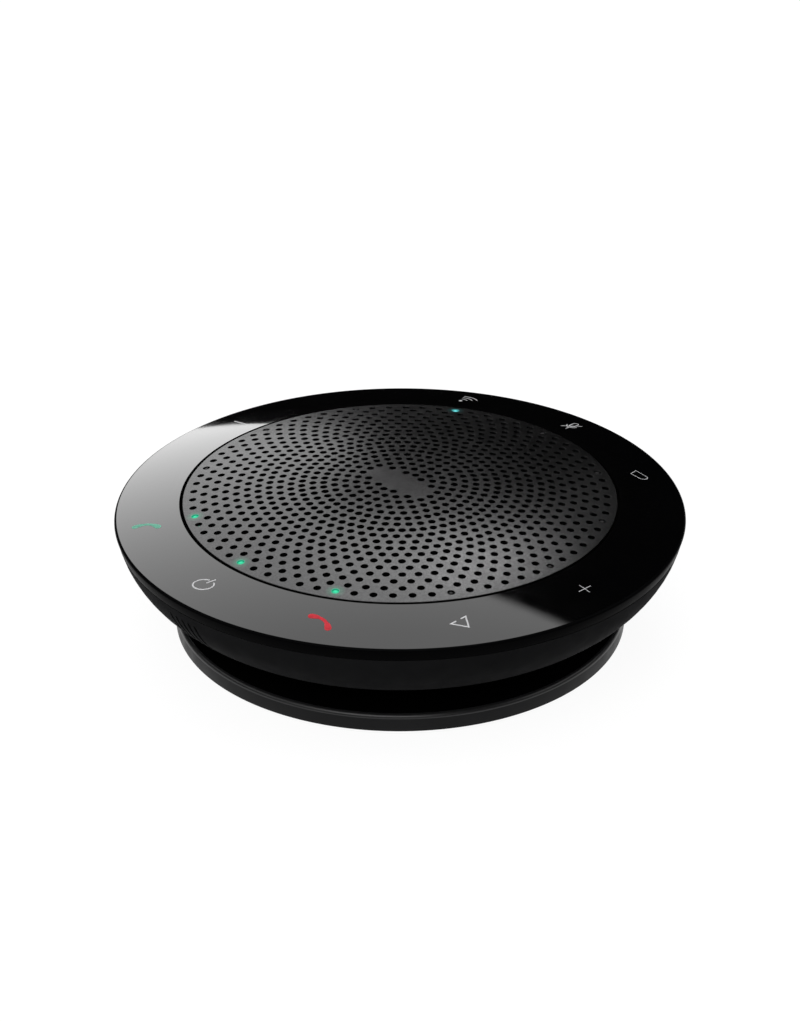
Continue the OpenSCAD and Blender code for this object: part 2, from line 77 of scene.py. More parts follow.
cameraSet = {
    "azimuth": 46.86,     # degrees round the puck from the front
    "elevation": 26.95,
    "distance": 493.4,    # from the point that it was levelled on
    "aimHeight": 28.7,
    "tilt": -0.378,       # aims a little under that point
    "roll": -0.18,
    "lens": 82.2,
    "sensor": 36,
    "clip": (0.02, 50),   # metres
}


def viewAxes():
    a = math.radians(cameraSet["azimuth"])
    right = Vector((math.cos(a), math.sin(a), 0))
    far = Vector((-math.sin(a), math.cos(a), 0))
    return right, far, Vector((0, 0, 1))


def makeCamera():
    right, far, up = viewAxes()
    e = math.radians(cameraSet["elevation"])
    back = up * math.sin(e) - far * math.cos(e)
    lensData = bpy.data.cameras.new("photoCamera")
    lensData.lens = cameraSet["lens"]
    lensData.sensor_width = cameraSet["sensor"]
    lensData.clip_start, lensData.clip_end = cameraSet["clip"]
    camera = bpy.data.objects.new("photoCamera", lensData)
    scene.collection.objects.link(camera)
    place = (back * cameraSet["distance"] + up * cameraSet["aimHeight"]) * mm
    turn = Matrix((right, back.cross(right), back)).transposed().to_4x4()
    tilt = Matrix.Rotation(math.radians(cameraSet["tilt"]), 4, "X")
    roll = Matrix.Rotation(math.radians(cameraSet["roll"]), 4, "Z")
    camera.matrix_world = Matrix.Translation(place) @ turn @ tilt @ roll
    scene.camera = camera


makeCamera()
print("camera set")


# helpers for node trees

def emptyFinish(name):
    finish = bpy.data.materials.new(name)
    finish.use_nodes = True
    tree = finish.node_tree
    tree.nodes.clear()
    return finish, tree, tree.nodes.new("ShaderNodeOutputMaterial")


def combined(tree, operation, first, second):
    node = tree.nodes.new("ShaderNodeMath")
    node.operation = operation
    tree.links.new(first, node.inputs[0])
    tree.links.new(second, node.inputs[1])
    return node.outputs[0]


def ranged(tree, value, low, high, lowFrom=0.3, highFrom=0.7):
    node = tree.nodes.new("ShaderNodeMapRange")
    node.inputs["From Min"].default_value = lowFrom
    node.inputs["From Max"].default_value = highFrom
    node.inputs["To Min"].default_value = low
    node.inputs["To Max"].default_value = high
    tree.links.new(value, node.inputs["Value"])
    return node.outputs[0]


# floor, pale surroundings and softboxes

stageSet = {
    "floorHalf": 6.0,         # metres
    "floorLevel": -0.00005,   # just clear of the rubber foot
    "floorTone": 0.3,         # what other surfaces receive from it
    "floorGlow": 0.93,        # white as seen, with a part left for the shadow
    "floorShade": 0.1,
    "ambient": 0.2,
    "tentRadius": 5.0,
    "tentTop": 88.0,          # degrees up
    "tentTone": 0.004,
    "tentGrid": (48, 12),
}

# softboxes by their corners: degrees right of straight behind the puck, degrees up;
# brightness changes from the low to the high level between two heights
softboxes = {
    "backSoftbox": {
        "distance": 4.0, "middle": (-20, 40),
        "corners": ((-10.2, 10.1), (-8.7, 10.8), (-6.7, 12.2), (-3.5, 16), (-2.2, 21.5), (-5.5, 27),
                    (-6.5, 31), (-2, 34), (5, 35.5), (6.5, 37), (6.5, 57.6), (-10, 60), (-26, 45),
                    (-24, 24), (-20, 14), (-13, 8.5)),
        "low": 3.95, "lowAt": 9.0, "high": 1.95, "highAt": 50.0,
    },
    "backSoftboxEnd": {
        "distance": 4.0, "middle": (10, 52),
        "corners": ((6.5, 42), (17.5, 44.9), (18.5, 56), (6.5, 57.6)),
        "low": 3.95, "lowAt": 9.0, "high": 1.95, "highAt": 50.0,
        "veil": ((9.2, 44.55), (15.4, 46.15), 1.1),   # the lower edge fades across this line
    },
    "middleSoftbox": {
        "distance": 3.8, "middle": (-2, 39.5),
        "corners": ((-8, 36.5), (-2, 34.8), (3, 34.8), (3, 44.8), (-5.5, 44), (-8, 42.8)),
        "low": 2.8, "lowAt": 34.0, "high": 4.1, "highAt": 44.0,
    },
    "keySoftbox": {
        "distance": 3.8, "middle": (6.2, 39),
        "corners": ((3, 34.8), (7, 36), (12.4, 35), (12.6, 38), (9.7, 42), (5.5, 44.2), (3, 44.8)),
        "low": 3.7, "lowAt": 34.0, "high": 9.2, "highAt": 44.0,
    },
    "fillSoftbox": {
        "distance": 3.9, "middle": (1, 28),
        "corners": ((-2, 22), (3, 20.5), (5.5, 22), (6.5, 26), (6.5, 32), (5, 34), (-2, 33.5), (-4, 29)),
        "low": 0.28, "lowAt": 20.0, "high": 0.28, "highAt": 34.0,
    },
    "sideSoftbox": {
        "distance": 3.9, "middle": (13, 27.5),
        "corners": ((11.6, 21.5), (12.8, 22), (13.9, 25), (14, 29), (13.4, 33), (12, 33), (12.2, 29),
                    (12, 25)),
        "low": 0.65, "lowAt": 21.0, "high": 0.65, "highAt": 34.0,
    },
    "topSoftbox": {
        "distance": 3.9, "middle": (0, 90),
        "corners": ((-160, 63), (-100, 63), (-40, 63), (20, 63), (80, 63), (140, 63)),
        "low": 2.1, "lowAt": 60.0, "high": 2.1, "highAt": 90.0,
    },
    "leftSoftbox": {
        "distance": 4.0, "middle": (-90, 42),
        "corners": ((-118, 24), (-62, 24), (-62, 60), (-118, 60)),
        "low": 1.6, "lowAt": 24.0, "high": 1.0, "highAt": 60.0,
    },
    "rightSoftbox": {
        "distance": 4.0, "middle": (90, 42),
        "corners": ((62, 24), (118, 24), (118, 60), (62, 60)),
        "low": 1.6, "lowAt": 24.0, "high": 1.0, "highAt": 60.0,
    },
    "frontSoftbox": {
        "distance": 4.0, "middle": (198, 42),
        "corners": ((165, 26), (165, 58), (230, 58), (230, 26)),
        "low": 3.0, "lowAt": 26.0, "high": 3.0, "highAt": 58.0,
    },
}


def splitBySight(tree, lighting, seen, out):
    # rays from the camera, from gloss and through clear pieces get the second shader
    path = tree.nodes.new("ShaderNodeLightPath").outputs
    sight = combined(tree, "MAXIMUM", path["Is Camera Ray"], path["Is Glossy Ray"])
    sight = combined(tree, "MAXIMUM", sight, path["Is Transmission Ray"])
    mix = tree.nodes.new("ShaderNodeMixShader")
    tree.links.new(sight, mix.inputs["Fac"])
    tree.links.new(lighting.outputs[0], mix.inputs[1])
    tree.links.new(seen.outputs[0], mix.inputs[2])
    tree.links.new(mix.outputs[0], out.inputs["Surface"])


def makeWorld():
    world = bpy.data.worlds.new("paleRoom")
    scene.world = world
    world.use_nodes = True
    tree = world.node_tree
    tree.nodes.clear()
    room = tree.nodes.new("ShaderNodeBackground")
    room.inputs["Color"].default_value = (1, 1, 1, 1)
    room.inputs["Strength"].default_value = stageSet["ambient"]
    white = tree.nodes.new("ShaderNodeBackground")
    white.inputs["Color"].default_value = (1, 1, 1, 1)
    white.inputs["Strength"].default_value = 1
    splitBySight(tree, room, white, tree.nodes.new("ShaderNodeOutputWorld"))


def stagePiece(name, points, faces, finish):
    mesh = bpy.data.meshes.new(name)
    mesh.from_pydata(points, [], faces)
    mesh.materials.append(finish)
    piece = bpy.data.objects.new(name, mesh)
    scene.collection.objects.link(piece)
    return piece


def makeFloor():
    finish, tree, out = emptyFinish("paleFloor")
    paper = tree.nodes.new("ShaderNodeBsdfDiffuse")
    paper.inputs["Color"].default_value = (stageSet["floorTone"],) * 3 + (1,)
    shade = tree.nodes.new("ShaderNodeBsdfDiffuse")
    shade.inputs["Color"].default_value = (stageSet["floorShade"],) * 3 + (1,)
    glow = tree.nodes.new("ShaderNodeEmission")
    glow.inputs["Strength"].default_value = stageSet["floorGlow"]
    seen = tree.nodes.new("ShaderNodeAddShader")
    tree.links.new(glow.outputs[0], seen.inputs[0])
    tree.links.new(shade.outputs[0], seen.inputs[1])
    splitBySight(tree, paper, seen, out)
    h = stageSet["floorHalf"]
    points = [(x, y, stageSet["floorLevel"]) for x, y in ((-h, -h), (h, -h), (h, h), (-h, h))]
    stagePiece("floor", points, [(0, 1, 2, 3)], finish)


def makeTent():
    # black cloth round the set, seen only in gloss, as round any glossy product
    finish, tree, out = emptyFinish("blackCloth")
    cloth = tree.nodes.new("ShaderNodeBsdfDiffuse")
    cloth.inputs["Color"].default_value = (stageSet["tentTone"],) * 3 + (1,)
    tree.links.new(cloth.outputs[0], out.inputs["Surface"])
    points = []
    faces = []
    around, up = stageSet["tentGrid"]
    for j in range(up):
        r, z = polar(stageSet["tentRadius"], stageSet["tentTop"] * j / (up - 1))
        for i in range(around):
            points.append((*polar(r, 360 * i / around), z))
    for j in range(up - 1):
        for i in range(around):
            k = (i + 1) % around
            faces.append((j * around + i, j * around + k, (j + 1) * around + k, (j + 1) * around + i))
    tent = stagePiece("blackTent", points, faces, finish)
    tent.visible_camera = False
    tent.visible_diffuse = False
    tent.visible_shadow = False
    tent.visible_transmission = False


def makeSoftbox(name, spec):
    right, far, up = viewAxes()

    def place(side, rise):
        t, e = math.radians(side), math.radians(rise)
        way = (far * math.cos(t) + right * math.sin(t)) * math.cos(e) + up * math.sin(e)
        return way * spec["distance"]

    points = [place(*spec["middle"])] + [place(*corner) for corner in spec["corners"]]
    count = len(spec["corners"])
    faces = [(0, 1 + i, 1 + (i + 1) % count) for i in range(count)]
    finish, tree, out = emptyFinish(name + "Cloth")
    glow = tree.nodes.new("ShaderNodeEmission")
    where = tree.nodes.new("ShaderNodeTexCoord")
    unit = tree.nodes.new("ShaderNodeVectorMath")
    unit.operation = "NORMALIZE"
    parts = tree.nodes.new("ShaderNodeSeparateXYZ")
    tree.links.new(where.outputs["Object"], unit.inputs[0])
    tree.links.new(unit.outputs[0], parts.inputs[0])
    lowest, highest = polar(1, spec["lowAt"])[1], polar(1, spec["highAt"])[1]
    strength = ranged(tree, parts.outputs["Z"], spec["low"], spec["high"], lowest, highest)
    if "veil" in spec:
        start, end, width = spec["veil"]
        above = tree.nodes.new("ShaderNodeVectorMath")
        above.operation = "DOT_PRODUCT"
        above.inputs[1].default_value = place(*end).cross(place(*start)).normalized()
        tree.links.new(unit.outputs[0], above.inputs[0])
        reach = math.sin(math.radians(width / 2))
        veil = ranged(tree, above.outputs["Value"], 0, 1, -reach, reach)
        strength = combined(tree, "MULTIPLY", strength, veil)
    tree.links.new(strength, glow.inputs["Strength"])
    tree.links.new(glow.outputs[0], out.inputs["Surface"])
    box = stagePiece(name, points, faces, finish)
    box.visible_camera = False


makeWorld()
makeFloor()
makeTent()
for name, spec in softboxes.items():
    makeSoftbox(name, spec)
scene.view_settings.view_transform = "Standard"
print("stage lit")


# finishes

def newFinish(name):
    finish = bpy.data.materials.new(name)
    finish.use_nodes = True
    tree = finish.node_tree
    return finish, tree, tree.nodes["Principled BSDF"]


def noise(tree, size, detail=3.0, stretch=(1, 1, 1)):
    # size is the width of one cell in millimetres
    place = tree.nodes.new("ShaderNodeTexCoord")
    spread = tree.nodes.new("ShaderNodeMapping")
    spread.inputs["Scale"].default_value = stretch
    cells = tree.nodes.new("ShaderNodeTexNoise")
    cells.inputs["Scale"].default_value = 1 / (size * mm)
    cells.inputs["Detail"].default_value = detail
    tree.links.new(place.outputs["Object"], spread.inputs["Vector"])
    tree.links.new(spread.outputs["Vector"], cells.inputs["Vector"])
    return cells.outputs["Fac"]


def toned(tree, value, dark, light, lowAt=0.35, highAt=0.65):
    ramp = tree.nodes.new("ShaderNodeValToRGB")
    ramp.color_ramp.elements[0].position = lowAt
    ramp.color_ramp.elements[0].color = (*dark, 1)
    ramp.color_ramp.elements[1].position = highAt
    ramp.color_ramp.elements[1].color = (*light, 1)
    tree.links.new(value, ramp.inputs["Fac"])
    return ramp.outputs["Color"]


def bumped(tree, shader, value, height, strength=1.0):
    bump = tree.nodes.new("ShaderNodeBump")
    bump.inputs["Strength"].default_value = strength
    bump.inputs["Distance"].default_value = height * mm
    tree.links.new(value, bump.inputs["Height"])
    tree.links.new(bump.outputs["Normal"], shader.inputs["Normal"])


def shaded(colour, share):
    return tuple(min(1.0, c * share) for c in colour)


def grained(name, spec):
    # moulded, painted or rubbed surface: slow tone drift, uneven gloss, fine grain
    finish, tree, shader = newFinish(name)
    colour = spec["colour"]
    drift = spec.get("drift", 0.12)
    patches = noise(tree, spec.get("patch", 9.0))
    tone = toned(tree, patches, shaded(colour, 1 - drift), shaded(colour, 1 + drift))
    tree.links.new(tone, shader.inputs["Base Color"])
    rough = spec["rough"]
    spread = spec.get("roughDrift", 0.05)
    smudges = noise(tree, spec.get("smudge", 3.0))
    uneven = ranged(tree, smudges, max(0.0, rough - spread), rough + spread)
    tree.links.new(uneven, shader.inputs["Roughness"])
    shader.inputs["Metallic"].default_value = spec.get("metal", 0.0)
    shader.inputs["Specular IOR Level"].default_value = spec.get("gloss", 0.5)
    shader.inputs["Specular Tint"].default_value = (spec.get("edge", 1.0),) * 3 + (1,)
    if spec.get("grain"):
        fine = noise(tree, spec["grain"], 2.0, spec.get("stretch", (1, 1, 1)))
        bumped(tree, shader, fine, spec.get("grainDepth", 0.01), 0.5)
    return finish


waveUnit = 0.3142   # width of one band at scale 1


def woven(name, spec):
    # plain weave from two crossed sets of threads
    finish, tree, shader = newFinish(name)
    threads = []
    for direction in ("X", "Y"):
        place = tree.nodes.new("ShaderNodeTexCoord")
        wave = tree.nodes.new("ShaderNodeTexWave")
        wave.bands_direction = direction
        wave.inputs["Scale"].default_value = waveUnit / (spec["thread"] * mm)
        wave.inputs["Distortion"].default_value = 0.6
        wave.inputs["Detail"].default_value = 1.0
        tree.links.new(place.outputs["Object"], wave.inputs["Vector"])
        threads.append(wave.outputs["Fac"])
    cross = combined(tree, "MAXIMUM", *threads)
    tone = toned(tree, cross, shaded(spec["colour"], 0.35), shaded(spec["colour"], 1.25), 0.3, 0.9)
    tree.links.new(tone, shader.inputs["Base Color"])
    shader.inputs["Roughness"].default_value = spec["rough"]
    shader.inputs["Specular IOR Level"].default_value = spec.get("gloss", 0.3)
    bumped(tree, shader, cross, spec["thread"] * 0.3)
    return finish


def circuit(name, spec):
    # solder mask over copper tracks, with the laminate's weave under it
    finish, tree, shader = newFinish(name)
    place = tree.nodes.new("ShaderNodeTexCoord")
    tracks = tree.nodes.new("ShaderNodeTexBrick")
    tracks.inputs["Scale"].default_value = 1 / (spec["track"] * mm)
    tracks.inputs["Mortar Size"].default_value = 0.05
    tracks.inputs["Color1"].default_value = (*spec["colour"], 1)
    tracks.inputs["Color2"].default_value = (*shaded(spec["colour"], 0.8), 1)
    tracks.inputs["Mortar"].default_value = (*shaded(spec["colour"], 1.7), 1)
    tree.links.new(place.outputs["Object"], tracks.inputs["Vector"])
    tree.links.new(tracks.outputs["Color"], shader.inputs["Base Color"])
    tree.links.new(ranged(tree, noise(tree, 2.0), *spec["rough"]), shader.inputs["Roughness"])
    bumped(tree, shader, tracks.outputs["Fac"], 0.03)
    return finish


def wound(name, spec):
    # fine wire laid side by side up the former
    finish, tree, shader = newFinish(name)
    place = tree.nodes.new("ShaderNodeTexCoord")
    turns = tree.nodes.new("ShaderNodeTexWave")
    turns.bands_direction = "Z"
    turns.inputs["Scale"].default_value = waveUnit / (spec["wire"] * mm)
    tree.links.new(place.outputs["Object"], turns.inputs["Vector"])
    wires = turns.outputs["Fac"]
    tone = toned(tree, wires, shaded(spec["colour"], 0.5), shaded(spec["colour"], 1.1), 0.1, 0.8)
    tree.links.new(tone, shader.inputs["Base Color"])
    shader.inputs["Metallic"].default_value = spec["metal"]
    shader.inputs["Roughness"].default_value = spec["rough"]
    bumped(tree, shader, wires, spec["wire"] * 0.5)
    return finish


# light pins by their angles in the outermost row of holes; the glow painted round a lit one drops to a share
# of itself at the bend and ends at the halo's edge
lamps = {
    "row": 43.7, "green": (240, 270, 300), "blue": (120,), "idle": (0, 30, 60, 90, 150, 180, 210, 330),
    "hole": 0.78, "core": 0.1, "halo": 2.1, "haloBend": 0.12, "haloDrop": {"green": 0.24, "blue": 0.08},
}


def nearestLamp(tree, angles):
    # distance to the nearest of these pins
    place = tree.nodes.new("ShaderNodeTexCoord")
    nearest = None
    for a in angles:
        x, y = polar(lamps["row"], a)
        gap = tree.nodes.new("ShaderNodeVectorMath")
        gap.operation = "DISTANCE"
        gap.inputs[1].default_value = (x * mm, y * mm, domeHeight(lamps["row"]) * mm)
        tree.links.new(place.outputs["Object"], gap.inputs[0])
        reach = gap.outputs["Value"]
        nearest = reach if nearest is None else combined(tree, "MINIMUM", nearest, reach)
    return nearest


def faded(tree, distance, near, far, atNear, atFar):
    # colour that fades with the distance from a lamp, in millimetres
    share = ranged(tree, distance, 0, 1, near * mm, far * mm)
    return toned(tree, share, atNear, atFar, 0.0, 1.0)


def litPin(name, spec):
    # end of a light pin: brighter in the middle than at the wall
    finish, tree, shader = newFinish(name)
    cloud = noise(tree, 0.5, 2.0)
    tone = toned(tree, cloud, shaded(spec["colour"], 0.8), spec["colour"])
    tree.links.new(tone, shader.inputs["Base Color"])
    near = nearestLamp(tree, lamps[spec["lamp"]])
    glow = faded(tree, near, lamps["core"], lamps["hole"], spec["glow"], spec["rim"])
    tree.links.new(glow, shader.inputs["Emission Color"])
    shader.inputs["Emission Strength"].default_value = 1
    shader.inputs["Roughness"].default_value = 0.5
    shader.inputs["Specular IOR Level"].default_value = 0.1
    return finish


def idlePin(name, spec):
    # smoked pin: the grey dot in its middle is a painted highlight, the black round it painted shade
    finish, tree, shader = newFinish(name)
    near = nearestLamp(tree, lamps["idle"])
    tone = faded(tree, near, spec["highlightR"], spec["shadeR"], spec["colour"], spec["dark"])
    tree.links.new(tone, shader.inputs["Base Color"])
    shader.inputs["Roughness"].default_value = 0.45
    shader.inputs["Specular IOR Level"].default_value = 0.1
    return finish


def haloed(name, spec):
    # grained paint with the glow of the lit pins painted on it as emission
    finish = grained(name, spec)
    tree = finish.node_tree
    shader = tree.nodes["Principled BSDF"]
    both = tree.nodes.new("ShaderNodeVectorMath")
    both.operation = "ADD"
    for i, lamp in enumerate(("green", "blue")):
        near = nearestLamp(tree, lamps[lamp])
        glow = faded(tree, near, lamps["hole"], lamps["halo"], spec[lamp], (0, 0, 0))
        bend = glow.node.color_ramp.elements.new(lamps["haloBend"])
        bend.color = (*shaded(spec[lamp], lamps["haloDrop"][lamp]), 1)
        tree.links.new(glow, both.inputs[i])
    tree.links.new(both.outputs[0], shader.inputs["Emission Color"])
    shader.inputs["Emission Strength"].default_value = 1
    return finish


finishes = {
    "grilleGrey": (haloed, {"colour": (0.06, 0.06, 0.0605), "metal": 1.0, "edge": 0.7, "rough": 0.225,
                            "roughDrift": 0.02, "drift": 0.16, "patch": 0.4, "grain": 0.2,
                            "grainDepth": 0.012,
                            "green": (0.018, 0.34, 0.19), "blue": (0.05, 0.32, 0.32)}),
    # dull black: the ring's own bore, and painted shade in the dome's bores, rim gap and underside
    "slitBlack": (grained, {"colour": (0.0015, 0.0015, 0.0015), "rough": 0.6, "gloss": 0.0, "patch": 3.0}),
    "ringGloss": (grained, {"colour": (0.0008, 0.0008, 0.0009), "rough": 0.045, "roughDrift": 0.015,
                            "gloss": 0.5, "patch": 20.0, "smudge": 7.0}),
    "ringSide": (grained, {"colour": (0.0014, 0.0014, 0.0016), "rough": 0.3, "gloss": 0.01, "patch": 20.0}),
    "housingBlack": (grained, {"colour": (0.013, 0.0131, 0.0137), "rough": 0.6, "gloss": 0.006, "drift": 0.1,
                               "grain": 0.22, "grainDepth": 0.008}),
    "baseBlack": (grained, {"colour": (0.0125, 0.0126, 0.0132), "rough": 0.4, "gloss": 0.1, "drift": 0.1,
                            "grain": 0.22, "grainDepth": 0.004}),
    "baseSheen": (grained, {"colour": (0.0125, 0.0126, 0.0132), "rough": 0.32, "roughDrift": 0.01,
                            "gloss": 0.44, "drift": 0.1}),
    # black plastic darkened to painted shade in the cord groove, on the drum and on the foot's flat top
    "drumBlack": (grained, {"colour": (0.0014, 0.0014, 0.0015), "rough": 0.7, "gloss": 0.0, "grain": 0.25}),
    "footRubber": (grained, {"colour": (0.012, 0.012, 0.012), "rough": 0.78, "gloss": 0.3, "grain": 0.35,
                             "grainDepth": 0.02}),
    "screenBlack": (woven, {"colour": (0.0025, 0.0025, 0.0025), "rough": 0.85, "gloss": 0.05,
                            "thread": 0.16}),
    "foamBlack": (grained, {"colour": (0.008, 0.008, 0.008), "rough": 0.9, "gloss": 0.2, "grain": 0.3,
                            "grainDepth": 0.08}),
    "pinGreen": (litPin, {"colour": (0.02, 0.2, 0.1), "lamp": "green", "glow": (0.03, 0.68, 0.36),
                          "rim": (0.02, 0.3, 0.165)}),
    "pinBlue": (litPin, {"colour": (0.02, 0.15, 0.2), "lamp": "blue", "glow": (0.18, 0.84, 0.82),
                         "rim": (0.12, 0.62, 0.62)}),
    # grey dot as a painted highlight, dark as painted shade round it
    "pinClear": (idlePin, {"colour": (0.024, 0.024, 0.025), "dark": (0.001, 0.001, 0.001),
                           "highlightR": 0.25, "shadeR": 0.42}),
    "ledCream": (grained, {"colour": (0.72, 0.66, 0.48), "rough": 0.35, "patch": 0.8, "drift": 0.2}),
    "boardGreen": (circuit, {"colour": (0.012, 0.1, 0.045), "track": 9.0, "rough": (0.28, 0.42)}),
    "filmAmber": (circuit, {"colour": (0.34, 0.15, 0.035), "track": 7.0, "rough": (0.28, 0.42)}),
    "framePlastic": (grained, {"colour": (0.02, 0.021, 0.023), "rough": 0.5, "grain": 0.3}),
    "screwSteel": (grained, {"colour": (0.45, 0.46, 0.48), "rough": 0.3, "metal": 1.0, "grain": 0.12}),
    "motorSteel": (grained, {"colour": (0.52, 0.53, 0.55), "rough": 0.36, "metal": 1.0, "grain": 0.2,
                             "stretch": (1, 1, 6)}),
    "magnetFerrite": (grained, {"colour": (0.03, 0.03, 0.032), "rough": 0.62, "metal": 0.3, "grain": 0.15,
                                "grainDepth": 0.02}),
    "conePaper": (grained, {"colour": (0.012, 0.012, 0.013), "rough": 0.72, "gloss": 0.3, "grain": 0.4,
                            "grainDepth": 0.03}),
    "surroundRubber": (grained, {"colour": (0.016, 0.016, 0.017), "rough": 0.6, "grain": 0.3}),
    "spiderCloth": (woven, {"colour": (0.62, 0.4, 0.12), "rough": 0.85, "thread": 0.4}),
    "formerAmber": (grained, {"colour": (0.5, 0.28, 0.06), "rough": 0.3, "patch": 2.0, "drift": 0.2}),
    "windingCopper": (wound, {"colour": (0.62, 0.2, 0.07), "wire": 0.18, "rough": 0.34, "metal": 0.85}),
    "terminalBrass": (grained, {"colour": (0.62, 0.42, 0.16), "rough": 0.32, "metal": 1.0, "grain": 0.15}),
    "tinPlate": (grained, {"colour": (0.62, 0.63, 0.64), "rough": 0.34, "metal": 1.0, "grain": 0.3,
                           "stretch": (1, 8, 1)}),
    "chipBlack": (grained, {"colour": (0.016, 0.016, 0.017), "rough": 0.5, "grain": 0.08}),
    "canGrey": (grained, {"colour": (0.2, 0.22, 0.24), "rough": 0.35, "metal": 0.7, "grain": 0.2}),
    "plugIvory": (grained, {"colour": (0.7, 0.64, 0.5), "rough": 0.45, "grain": 0.2}),
    "cellSilver": (grained, {"colour": (0.55, 0.56, 0.58), "rough": 0.38, "metal": 0.8, "grain": 0.8,
                             "grainDepth": 0.05}),
    "signGrey": (grained, {"colour": (0.5, 0.5, 0.51), "rough": 0.6, "gloss": 0.0, "patch": 0.7}),
    "signGreen": (grained, {"colour": (0.15, 0.39, 0.29), "rough": 0.6, "gloss": 0.0, "patch": 0.7}),
    "signRed": (grained, {"colour": (0.48, 0.04, 0.052), "rough": 0.6, "gloss": 0.0, "patch": 0.7}),
}
made = {name: maker(name, spec) for name, (maker, spec) in finishes.items()}

nodeFinish = {
    "speaker_grille": "grilleGrey", "acoustic_mesh": "screenBlack", "grille_seal": "foamBlack",
    "touch_ring": "ringGloss", "touch_film": "filmAmber", "touch_board": "boardGreen",
    "status_leds": "ledCream", "light_pipes_call": "pinGreen", "light_pipe_link": "pinBlue",
    "light_pipes_idle": "pinClear", "mid_frame": "framePlastic", "frame_screws": "screwSteel",
    "driver_basket": "framePlastic", "driver_yoke": "motorSteel", "driver_magnet": "magnetFerrite",
    "driver_top_plate": "motorSteel", "coil_former": "formerAmber", "voice_coil": "windingCopper",
    "speaker_cone": "conePaper", "dust_cap": "conePaper", "cone_surround": "surroundRubber",
    "spider": "spiderCloth", "driver_gasket": "foamBlack", "driver_screws": "screwSteel",
    "speaker_terminals": "terminalBrass", "main_board": "boardGreen", "board_screws": "screwSteel",
    "shield_can": "tinPlate", "board_chips": "chipBlack", "board_capacitors": "canGrey",
    "board_connectors": "plugIvory", "battery_cell": "cellSilver", "battery_pad": "foamBlack",
    "mic_capsule": "tinPlate", "mic_boot": "footRubber", "lower_housing": "housingBlack",
    "cord_drum": "drumBlack", "cord_gland": "footRubber", "base_plate": "baseBlack",
    "foot_ring": "footRubber", "base_screws": "screwSteel",
}
for name, node in nodes.items():
    if not node.material_slots:
        node.data.materials.append(None)
    for place in node.material_slots:
        place.material = made[nodeFinish[name]]
print("finishes on", len(nodes), "nodes")


# pieces in millimetres

def addPiece(name, points, faces, finishNames, sharp=32.0, faceFinish=None, body="housing"):
    mesh = bpy.data.meshes.new(name)
    mesh.from_pydata([(x * mm, y * mm, z * mm) for x, y, z in points], [], faces)
    for finishName in finishNames:
        mesh.materials.append(made[finishName])
    if faceFinish:
        mesh.polygons.foreach_set("material_index", faceFinish)
    work = bmesh.new()
    work.from_mesh(mesh)
    bmesh.ops.recalc_face_normals(work, faces=work.faces)
    limit = math.radians(sharp)
    for face in work.faces:
        face.smooth = True
    for edge in work.edges:
        edge.smooth = edge.calc_face_angle(math.pi) < limit
    work.to_mesh(mesh)
    work.free()
    piece = bpy.data.objects.new(name, mesh)
    scene.collection.objects.link(piece)
    if body:
        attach(piece, body)
    return piece


def trueNormals(mesh):
    # the skin's corners take the sphere's own direction, other faces keep theirs
    centre = Vector((0, 0, domeCentre * mm))
    radius = dome["radius"] * mm
    ways = [(0, 0, 0)] * len(mesh.loops)
    for face in mesh.polygons:
        rays = [mesh.vertices[i].co - centre for i in face.vertices]
        if max(abs(ray.length - radius) for ray in rays) < 1e-6:
            for loop, ray in zip(face.loop_indices, rays):
                ways[loop] = tuple(ray.normalized())
    mesh.normals_split_custom_set(ways)


def lathe(section, turns):
    count = len(section)
    points = []
    faces = []
    for i in range(turns):
        c, s = polar(1, 360 * i / turns)
        points += [(r * c, r * s, z) for r, z in section]
    for i in range(turns):
        j = (i + 1) % turns
        for k in range(count):
            m = (k + 1) % count
            faces.append((i * count + k, j * count + k, j * count + m, i * count + m))
    return points, faces


def boxShell(points, faces, low, high, degrees):
    start = len(points)
    corners = [(low[0], low[1]), (high[0], low[1]), (high[0], high[1]), (low[0], high[1])]
    for z in (low[2], high[2]):
        points += [(x, y, z) for x, y in turned(corners, degrees)]
    for f in ((0, 1, 2, 3), (4, 5, 6, 7), (0, 1, 5, 4), (1, 2, 6, 5), (2, 3, 7, 6), (3, 0, 4, 7)):
        faces.append(tuple(start + i for i in f))


# gloss ring

ring = {
    "bore": 46.42, "outer": 60.25, "edge": 0.6, "boreEdge": 0.1, "taper": 0.55, "parting": 24.0,
    "thick": 2.0, "lip": 1.5, "ledge": 44.6, "ledgeTop": 27.65, "ledgeThick": 1.3,
    "tongueOut": 57.1, "tongueIn": 56.1, "tongueLow": 22.6, "turns": 480,
    "hooks": 6, "hookTurn": 15, "hookAt": 52.2, "hookThick": 1.2, "hookWide": 6.0, "hookLow": 19.9,
    "hookNose": 0.9, "hookNoseTop": 20.45,
    "boreSteps": 6, "topSteps": 16, "edgeSteps": 10, "underSteps": 8,
}


def roundOnDome(edgeR, e, outward, steps):
    # points of an edge round that meets the dome, from the dome to the upright side
    centreR = edgeR - outward * e
    centreZ = domeCentre + math.sqrt((dome["radius"] - e) ** 2 - centreR ** 2)
    first = math.atan2(centreZ - domeCentre, centreR)
    last = 0.0 if outward > 0 else math.pi
    turn = [first + (last - first) * i / steps for i in range(steps + 1)]
    return [(centreR + e * math.cos(t), centreZ + e * math.sin(t)) for t in turn]


